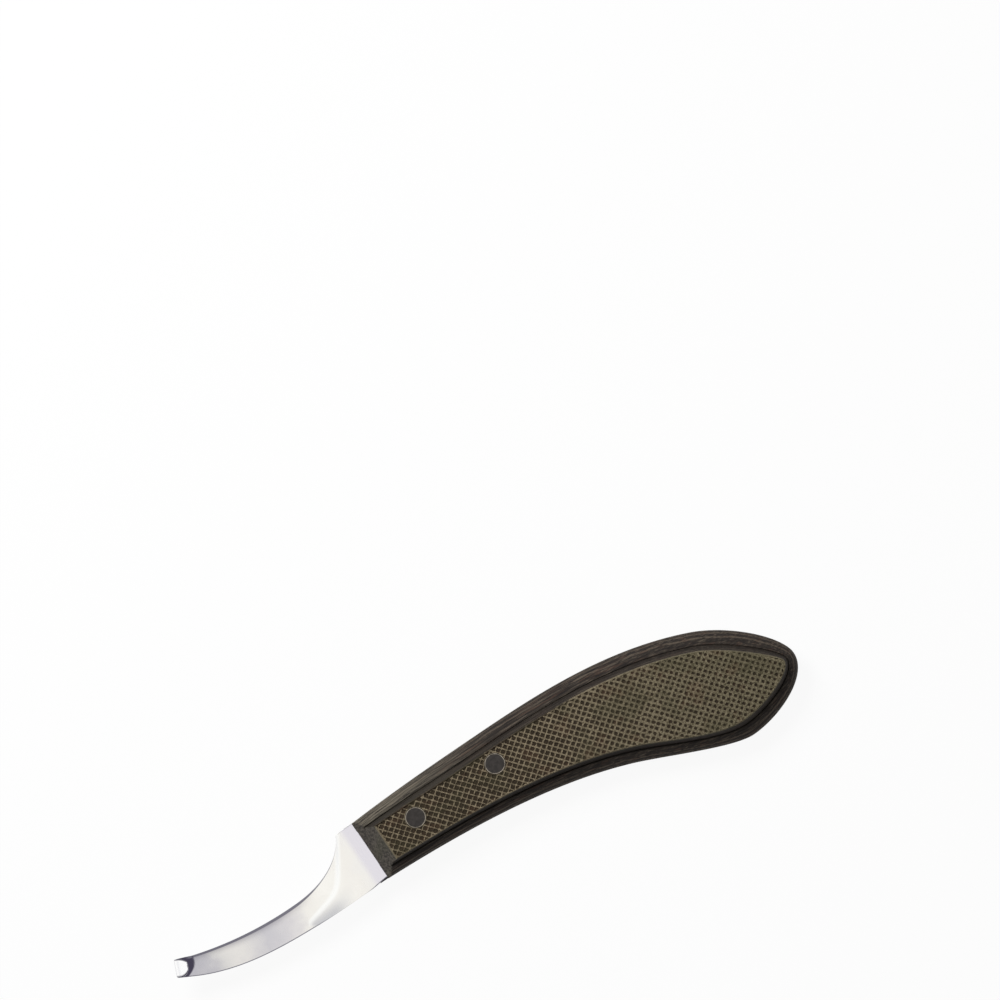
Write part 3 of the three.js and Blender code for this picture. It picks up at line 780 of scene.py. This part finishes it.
class Shader:
    """Short calls to lay out a material's nodes."""

    def __init__(self, name):
        self.material = bpy.data.materials.new(name)
        self.material.use_nodes = True
        self.tree = self.material.node_tree
        self.surface = self.tree.nodes["Principled BSDF"]

    def node(self, kind, out=0, settings=None, **inputs):
        made = self.tree.nodes.new(kind)
        for name, value in (settings or {}).items():
            setattr(made, name, value)
        for name, value in inputs.items():
            key = int(name[1:]) if name[0] == "i" and name[1:].isdigit() else name.replace("_", " ")
            self.set(made.inputs[key], value)
        return made.outputs[out]

    def set(self, socket, value):
        if isinstance(value, bpy.types.NodeSocket):
            self.tree.links.new(value, socket)
        else:
            socket.default_value = value

    def math(self, operation, a, b=0.0, c=0.0):
        return self.node("ShaderNodeMath", settings={"operation": operation}, i0=a, i1=b, i2=c)

    def mix(self, share, a, b):
        made = self.tree.nodes.new("ShaderNodeMix")
        made.data_type = "RGBA"
        for k, value in ((0, share), (6, a), (7, b)):
            self.set(made.inputs[k], value)
        return made.outputs[2]

    def remap(self, value, low, high, to_low, to_high):
        limits = {"From_Min": low, "From_Max": high, "To_Min": to_low, "To_Max": to_high}
        settings = {"interpolation_type": "SMOOTHSTEP"}
        return self.node("ShaderNodeMapRange", settings=settings, Value=value, **limits)

    def remap_linear(self, value, low, high):
        return self.node("ShaderNodeMapRange", Value=value, From_Min=low, From_Max=high)

    def attribute(self, name):
        return self.node("ShaderNodeAttribute", out=2, settings={"attribute_name": name})

    def axes(self):
        """Object coordinates in millimetres, one by one."""
        apart = self.node("ShaderNodeSeparateXYZ", Vector=self.place((1, 1, 1))).node
        return apart.outputs[:3]

    def place(self, scale):
        """Object coordinates in millimetres, stretched by a scale on each axis."""
        spot = self.node("ShaderNodeTexCoord", out=3)
        return self.node("ShaderNodeMapping", Vector=spot, Scale=[s / MM for s in scale])

    def noise(self, scale, detail=3.0, roughness=0.55):
        grain = {"Scale": 1.0, "Detail": detail, "Roughness": roughness}
        return self.node("ShaderNodeTexNoise", Vector=self.place(scale), **grain)

    def bump(self, height, strength, distance):
        return self.node("ShaderNodeBump", Height=height, Strength=strength, Distance=distance * MM)


def srgb(red, green, blue):
    """A colour written in 0 to 255, as the shader's linear values."""
    levels = (red, green, blue)
    return [*(((c / 255 + 0.055) / 1.055) ** 2.4 if c > 10 else c / 3295 for c in levels), 1]


def paints(**colours):
    return SimpleNamespace(**{name: srgb(*colour) for name, colour in colours.items()})


WOOD = paints(
    dark_ply=(49, 45, 42), light_ply=(89, 80, 71), glue=(38, 35, 34),
    grain=(96, 87, 77), dark_grain=(39, 36, 35), red=(81, 62, 53), pale=(122, 116, 103),
    wall=(22, 18, 15), dark_ramp=(50, 47, 46), light_ramp=(97, 92, 85), green=(78, 81, 60),
    dark_pit=(37, 32, 27), light_pit=(62, 53, 42), olive=(65, 64, 47), rust=(89, 64, 50),
    dark_ridge=(95, 85, 69), light_ridge=(143, 131, 109),
    dark_broad=(66, 61, 46), light_broad=(127, 118, 97), arris=(123, 115, 95),
)
STEEL = paints(
    lavender=(220, 216, 227), plunge=(255, 255, 252), dull=(204, 204, 206),
    tab=(255, 255, 255), honed=(122, 120, 130), cup=(70, 66, 82),
)
RIVET = paints(dark=(54, 51, 49), light=(66, 62, 60), line=(82, 78, 77), rim=(176, 166, 150))


def laminate_material():
    s = Shader("laminate")
    along, _, height = s.axes()
    # Plies parallel to the blade, each with its own tone and a thin dark glue line.
    waver = s.remap(s.noise((0.05, 0.09, 0.05)), 0.25, 0.75, -0.35, 0.35)
    ply = s.math("DIVIDE", s.math("ADD", height, waver), PLY)
    one_way = {"noise_dimensions": "1D"}
    tone = s.node("ShaderNodeTexWhiteNoise", settings=one_way, W=s.math("FLOOR", ply))
    glue = s.remap(s.math("PINGPONG", ply, 0.5), 0.02, 0.2, 1.0, 0.0)
    plies = s.mix(s.math("POWER", tone, 1.6), WOOD.dark_ply, WOOD.light_ply)
    # Grain: long streaks along the handle, some of them red-brown, paler toward the blade.
    streak = s.noise((0.09, 1.5, 2.6), detail=5.0, roughness=0.72)
    red = s.noise((0.06, 0.9, 1.6), detail=4.0)
    plies = s.mix(s.remap(streak, 0.36, 0.48, 0.75, 0.0), plies, WOOD.grain)
    plies = s.mix(s.remap(red, 0.53, 0.66, 0.0, 0.45), plies, WOOD.red)
    # Painted highlight: the back side, which faces the light, is paler toward the blade.
    pale = s.math("MULTIPLY", s.remap(along, -36.0, 20.0, 0.6, 0.0), s.attribute("back"))
    plies = s.mix(pale, plies, WOOD.pale)
    plies = s.mix(s.remap(streak, 0.52, 0.6, 0.0, 0.9), plies, WOOD.dark_grain)
    plies = s.mix(s.math("MULTIPLY", glue, 0.75), plies, WOOD.glue)
    # Painted shade: the wall, and the seat under the blade, go near black.
    plies = s.mix(s.attribute("wall"), plies, WOOD.wall)
    # The ramp at the front is cut across the plies, and is plain and greyer.
    speck = s.noise((2.4, 2.4, 2.4), detail=4.0, roughness=0.7)
    patch = s.noise((0.16, 0.2, 0.2), detail=3.0)
    grit = s.noise((1.3, 1.3, 1.3), detail=4.0, roughness=0.8)
    ramp = s.mix(s.remap(grit, 0.34, 0.66, 0.0, 1.0), WOOD.dark_ramp, WOOD.light_ramp)
    ramp = s.mix(s.remap(patch, 0.4, 0.6, 0.0, 0.16), ramp, WOOD.green)
    plies = s.mix(s.attribute("ramp"), plies, ramp)
    # The panel: narrow pale ridges at the front, broad olive ones with round pits at the butt.
    # Painted shade: the ridges are darkened near the panel's back edge.
    lit = s.remap(s.attribute("unlit"), 0.0, 1.0, 1.0, 0.3)
    ridge = s.math("MULTIPLY", s.attribute("ridge"), lit)
    broken = s.remap(s.noise((0.9, 0.9, 0.9), detail=3.0), 0.35, 0.65, -0.3, 0.2)
    cloud = s.noise((0.09, 0.12, 0.1), detail=3.0)
    butt = s.remap(along, 10.0, 90.0, 0.0, 1.0)
    pit = s.mix(s.remap(speck, 0.3, 0.7, 0.0, 1.0), WOOD.dark_pit, WOOD.light_pit)
    bright = s.mix(s.remap(speck, 0.35, 0.65, 0.0, 1.0), WOOD.dark_ridge, WOOD.light_ridge)
    broad = s.mix(s.remap(speck, 0.35, 0.65, 0.0, 1.0), WOOD.dark_broad, WOOD.light_broad)
    crest = s.mix(butt, bright, broad)
    panel = s.mix(s.remap(s.math("ADD", ridge, broken), 0.3, 0.85, 0.0, 1.0), pit, crest)
    panel = s.mix(s.remap(cloud, 0.45, 0.65, 0.0, 0.3), panel, WOOD.olive)
    panel = s.mix(s.remap(patch, 0.54, 0.68, 0.0, 0.18), panel, WOOD.rust)
    # The edge between the panel and what lies round it gets a painted highlight, weaker at the
    # back.
    shown = s.attribute("panel")
    arris = s.remap(s.math("PINGPONG", shown, 0.5), 0.1, 0.45, 0.0, 0.7)
    arris = s.math("MULTIPLY", arris, s.math("ADD", broken, 0.8))
    arris = s.math("MULTIPLY", arris, s.remap(s.attribute("unlit"), 0.0, 1.0, 1.0, 0.1))
    colour = s.mix(arris, s.mix(shown, plies, panel), WOOD.arris)
    s.set(s.surface.inputs["Base Color"], colour)
    s.set(s.surface.inputs["Roughness"], s.remap(streak, 0.3, 0.7, 0.5, 0.66))
    s.set(s.surface.inputs["Specular IOR Level"], 0.05)
    relief = s.math("ADD", streak, s.math("MULTIPLY", speck, 0.6))
    s.set(s.surface.inputs["Normal"], s.bump(relief, 0.5, 0.06))
    return s.material


def steel_material():
    s = Shader("blade_steel")
    s.set(s.surface.inputs["Metallic"], 1.0)
    lines = s.noise((3.2, 0.12, 0.3), detail=4.0, roughness=0.6)
    haze = s.noise((0.12, 0.16, 0.1), detail=2.0)
    from_tip = s.axes()[0]
    along = s.math("ADD", from_tip, s.remap(haze, 0.3, 0.7, -2.0, 2.0))
    # Painted reflection: the blade is darker toward the hook and brightest where the ground face
    # starts.
    polish = s.node("ShaderNodeValToRGB", Fac=s.remap_linear(along, *POLISH_SPAN))
    ramp = polish.node.color_ramp
    while len(ramp.elements) < len(POLISH):
        ramp.elements.new(1.0)
    for stop, (place, colour) in zip(ramp.elements, POLISH):
        stop.position = (place - POLISH_SPAN[0]) / (POLISH_SPAN[1] - POLISH_SPAN[0])
        stop.color = srgb(*colour)
    colour = s.mix(s.remap(from_tip, -40.6, -38.2, 0.0, 0.65), polish, STEEL.lavender)
    # Painted highlight along the line where the grind starts.
    colour = s.mix(s.attribute("plunge"), colour, STEEL.plunge)
    # Painted shade on the ricasso's spine corner.
    colour = s.mix(s.attribute("dull"), colour, STEEL.dull)
    # Painted highlight on the top of the curl's end.
    colour = s.mix(s.attribute("tab"), colour, STEEL.tab)
    # Painted dark reflection on the edge bevel, painted shade on the spine and the curl's bend.
    colour = s.mix(s.attribute("honed"), colour, STEEL.honed)
    # Painted shade in the hollow before the hook's bend.
    colour = s.mix(s.attribute("cup"), colour, STEEL.cup)
    s.set(s.surface.inputs["Base Color"], colour)
    s.set(s.surface.inputs["Roughness"], s.remap(lines, 0.3, 0.7, 0.2, 0.28))
    s.set(s.surface.inputs["Normal"], s.bump(lines, 0.06, 0.01))
    return s.material


def rivet_material():
    s = Shader("rivet_steel")
    s.set(s.surface.inputs["Metallic"], 0.85)
    lines = s.noise((0.25, 5.0, 1.0), detail=4.0)
    blotch = s.noise((0.8, 0.8, 0.8), detail=3.0)
    face = s.mix(s.remap(blotch, 0.3, 0.7, 0.0, 1.0), RIVET.dark, RIVET.light)
    face = s.mix(s.remap(lines, 0.5, 0.75, 0.0, 0.3), face, RIVET.line)
    # Painted highlight: a light ring round each head's edge, broken up by blotches.
    worn = s.remap(blotch, 0.35, 0.6, 0.35, 1.0)
    colour = s.mix(s.math("MULTIPLY", s.attribute("rim"), worn), face, RIVET.rim)
    s.set(s.surface.inputs["Base Color"], colour)
    s.set(s.surface.inputs["Roughness"], s.remap(lines, 0.3, 0.7, 0.42, 0.58))
    s.set(s.surface.inputs["Normal"], s.bump(lines, 0.2, 0.02))
    return s.material


# ------------------------------------------------------------------ the knife


def show(piece, material, slot, *nodes):
    piece.data.materials.append(material)
    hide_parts(*nodes)
    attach(piece, "root")


laminate, steel, rivet_steel = laminate_material(), steel_material(), rivet_material()
show(blade_piece(), steel, "blade_steel", "blade")
for scale in SCALE_LEADS:
    show(scale_piece(scale), laminate, "handle_laminate", scale)
for place, x in RIVET_X.items():
    male, female = rivet_pieces(place, x)
    show(male, rivet_steel, "rivet_steel", f"{place}_rivet_male")
    show(female, rivet_steel, "rivet_steel", f"{place}_rivet_female")

# ------------------------------------------------------------------ studio

VIEW_FIELD = 302.5
VIEW_CENTRE = (75.1, 65.1, HALF)
VIEW_TURN = 34.18
LENS, SENSOR, CLIP = 200.0, 36.0, (0.05, 20)
FILL, KEY = 0.22, 0.97
KEY_DISTANCE, KEY_SIZE, KEY_HEIGHT, KEY_TURN, KEY_AIM = 0.9, 0.4, 53, 135, (50, -5, 0)
SKY_LOW, SKY_WHITE_FROM = (0.8, 0.8, 0.83, 1), 0.4
FLOOR_SIZE, FLOOR_DROP, FLOOR_GREY, FLOOR_GLOW = 4, 0.0002, 0.8, 0.93
WHITE = (1, 1, 1, 1)


def in_frame(x, y, z):
    return ORIGIN + Vector((x, y, z)) * MM


def make_camera():
    data = bpy.data.cameras.new("camera")
    data.lens, data.sensor_width = LENS, SENSOR
    camera = bpy.data.objects.new("camera", data)
    bpy.context.scene.collection.objects.link(camera)
    distance = VIEW_FIELD * MM * LENS / SENSOR
    camera.location = in_frame(*VIEW_CENTRE) + Vector((0, 0, distance))
    camera.rotation_euler = (0, 0, -math.radians(VIEW_TURN))
    data.clip_start, data.clip_end = CLIP
    bpy.context.scene.camera = camera


def make_key():
    """A large soft lamp from the upper left of the picture."""
    data = bpy.data.lights.new("key", "AREA")
    data.shape, data.size = "DISK", KEY_SIZE
    data.energy = KEY * math.pi**2 * KEY_DISTANCE**2
    lamp = bpy.data.objects.new("key", data)
    bpy.context.scene.collection.objects.link(lamp)
    level, rise = direction(KEY_TURN - VIEW_TURN), direction(KEY_HEIGHT)
    aim = Vector((level[0] * rise[0], level[1] * rise[0], rise[1]))
    lamp.location = in_frame(*KEY_AIM) + aim * KEY_DISTANCE
    lamp.rotation_euler = aim.to_track_quat("Z", "Y").to_euler()
    lamp.visible_glossy = False


def make_world():
    """White to the camera, white above and greyer low down to reflections, and a plain fill."""
    world = bpy.data.worlds.new("studio")
    bpy.context.scene.world = world
    world.use_nodes = True
    nodes, links = world.node_tree.nodes, world.node_tree.links
    nodes.clear()
    rays = nodes.new("ShaderNodeLightPath")

    def background(strength):
        made = nodes.new("ShaderNodeBackground")
        made.inputs["Strength"].default_value = strength
        return made

    def mixed(share, a, b):
        made = nodes.new("ShaderNodeMixShader")
        links.new(share, made.inputs[0])
        links.new(a, made.inputs[1])
        links.new(b, made.inputs[2])
        return made.outputs[0]

    spot = nodes.new("ShaderNodeTexCoord")
    apart = nodes.new("ShaderNodeSeparateXYZ")
    links.new(spot.outputs["Generated"], apart.inputs[0])
    sky = nodes.new("ShaderNodeValToRGB")
    sky.color_ramp.interpolation = "EASE"
    stops = sky.color_ramp.elements
    stops[0].position, stops[1].position = 0.0, SKY_WHITE_FROM
    stops[0].color, stops[1].color = SKY_LOW, WHITE
    links.new(apart.outputs["Z"], sky.inputs[0])
    gloss = background(1.0)
    links.new(sky.outputs[0], gloss.inputs["Color"])
    fill = background(FILL)
    fill.inputs["Color"].default_value = WHITE
    white = background(1.0)
    white.inputs["Color"].default_value = WHITE
    lit = mixed(rays.outputs["Is Glossy Ray"], fill.outputs[0], gloss.outputs[0])
    seen = mixed(rays.outputs["Is Transmission Ray"], lit, white.outputs[0])
    seen = mixed(rays.outputs["Is Camera Ray"], seen, white.outputs[0])
    links.new(seen, nodes.new("ShaderNodeOutputWorld").inputs[0])


def make_floor():
    """A pale floor, white to the camera and to reflections but for a light shadow."""
    s = Shader("floor")
    s.set(s.surface.inputs["Base Color"], (FLOOR_GREY, FLOOR_GREY, FLOOR_GREY, 1))
    s.set(s.surface.inputs["Roughness"], 0.9)
    s.set(s.surface.inputs["Specular IOR Level"], 0.0)
    rays = s.node("ShaderNodeLightPath").node
    direct = s.math("MAXIMUM", rays.outputs["Is Camera Ray"], rays.outputs["Is Glossy Ray"])
    direct = s.math("MAXIMUM", direct, rays.outputs["Is Transmission Ray"])
    share = s.math("MULTIPLY", direct, FLOOR_GLOW)
    glow = s.node("ShaderNodeEmission", Color=WHITE, Strength=1.0)
    mixed = s.node("ShaderNodeMixShader", i0=share, i1=s.surface.outputs[0], i2=glow)
    s.tree.links.new(mixed, s.tree.nodes["Material Output"].inputs[0])
    bpy.ops.mesh.primitive_plane_add(size=FLOOR_SIZE, location=(0, 0, -FLOOR_DROP))
    floor = bpy.context.object
    floor.name = "floor"
    floor.data.materials.append(s.material)
    floor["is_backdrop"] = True


make_camera()
make_key()
make_world()
make_floor()
bpy.context.scene.view_settings.view_transform = "Standard"

sizes = {"cad": cad_box, "visual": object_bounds()}
{name: [list(corner) for corner in box] for name, box in sizes.items()}
